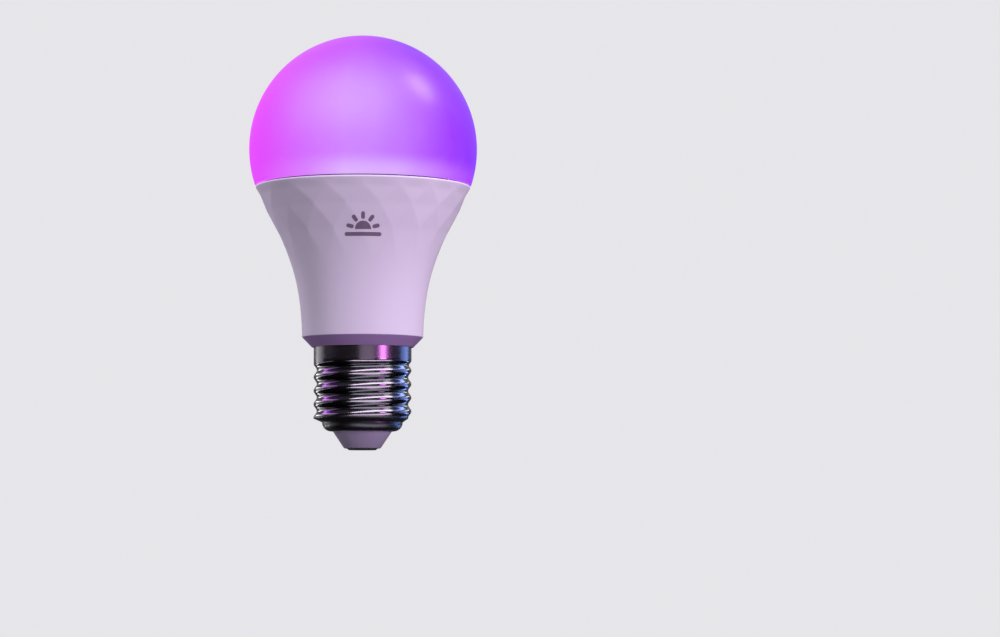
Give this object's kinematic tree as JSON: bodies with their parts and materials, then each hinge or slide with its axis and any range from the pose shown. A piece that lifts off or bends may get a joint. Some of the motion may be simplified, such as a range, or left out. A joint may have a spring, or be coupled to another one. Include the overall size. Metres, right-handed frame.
{
  "type": "smart light bulb",
  "caption": "Globe-topped colour-changing LED lamp with a flared housing, a round-thread screw cap and a centre contact, holding its light board, radio and driver.",
  "frame": {"origin": "on the lamp's axis, at the flat face of the centre contact", "axes": "+Z along the lamp's axis from the contact to the diffuser's top, -Y the side with the printed mark"},
  "size_m": [0.061, 0.061, 0.111],
  "materials": {
    "diffuser": "opal, glowing",
    "silicone": "satin",
    "housing_plastic": "fine satin",
    "cap_metal": "dark polished",
    "insulator_plastic": "satin",
    "contact_metal": "tinned",
    "cup_aluminium": "drawn",
    "thermal_pad": "soft",
    "light_board": "white solder resist",
    "warm_lamp": "phosphor gel",
    "cool_lamp": "phosphor gel",
    "colour_lamp": "clear gel",
    "chip_plastic": "moulded epoxy",
    "screw_steel": "zinc plated",
    "white_plastic": "moulded",
    "header_plastic": "moulded",
    "radio_board": "solder resist",
    "shield_metal": "tinned",
    "copper_track": "plated copper",
    "sleeve_film": "milky film",
    "driver_board": "solder resist",
    "capacitor_sleeve": "printed sleeve",
    "ferrite": "matt",
    "bobbin_plastic": "moulded",
    "copper_winding": "enamelled",
    "shrink_tube": "shrunk",
    "film_box": "moulded",
    "varistor_coat": "dipped",
    "resistor_coat": "painted",
    "chip_ceramic": "fired",
    "red_insulation": "satin",
    "white_insulation": "satin",
    "printed_ink": "pad printed"
  },
  "bodies": {
    "root": {"diffuser_dome": "diffuser", "sealant_ring": "silicone", "housing_shell": "housing_plastic", "screw_shell": "cap_metal", "cap_insulator": "insulator_plastic", "centre_contact": "contact_metal", "heat_sink_cup": "cup_aluminium", "thermal_pad": "thermal_pad", "led_board": "light_board", "warm_leds": "warm_lamp", "cool_leds": "cool_lamp", "colour_leds": "colour_lamp", "colour_driver_chip": "chip_plastic", "board_screws": "screw_steel", "board_socket": "white_plastic", "pin_header": "header_plastic", "radio_board": "radio_board", "radio_chip": "chip_plastic", "radio_shield": "shield_metal", "radio_crystal": "shield_metal", "radio_antenna": "copper_track", "insulating_sleeve": "sleeve_film", "driver_board": "driver_board", "bulk_capacitor": "capacitor_sleeve", "output_capacitor": "capacitor_sleeve", "transformer_core": "ferrite", "transformer_bobbin": "bobbin_plastic", "transformer_winding": "copper_winding", "filter_inductor": "shrink_tube", "film_capacitor": "film_box", "surge_varistor": "varistor_coat", "fusible_resistor": "resistor_coat", "bridge_rectifier": "chip_plastic", "output_diode": "chip_plastic", "driver_chip": "chip_plastic", "chip_resistors": "chip_plastic", "chip_capacitors": "chip_ceramic", "live_wire": "red_insulation", "neutral_wire": "white_insulation"}
  },
  "joints": []
}
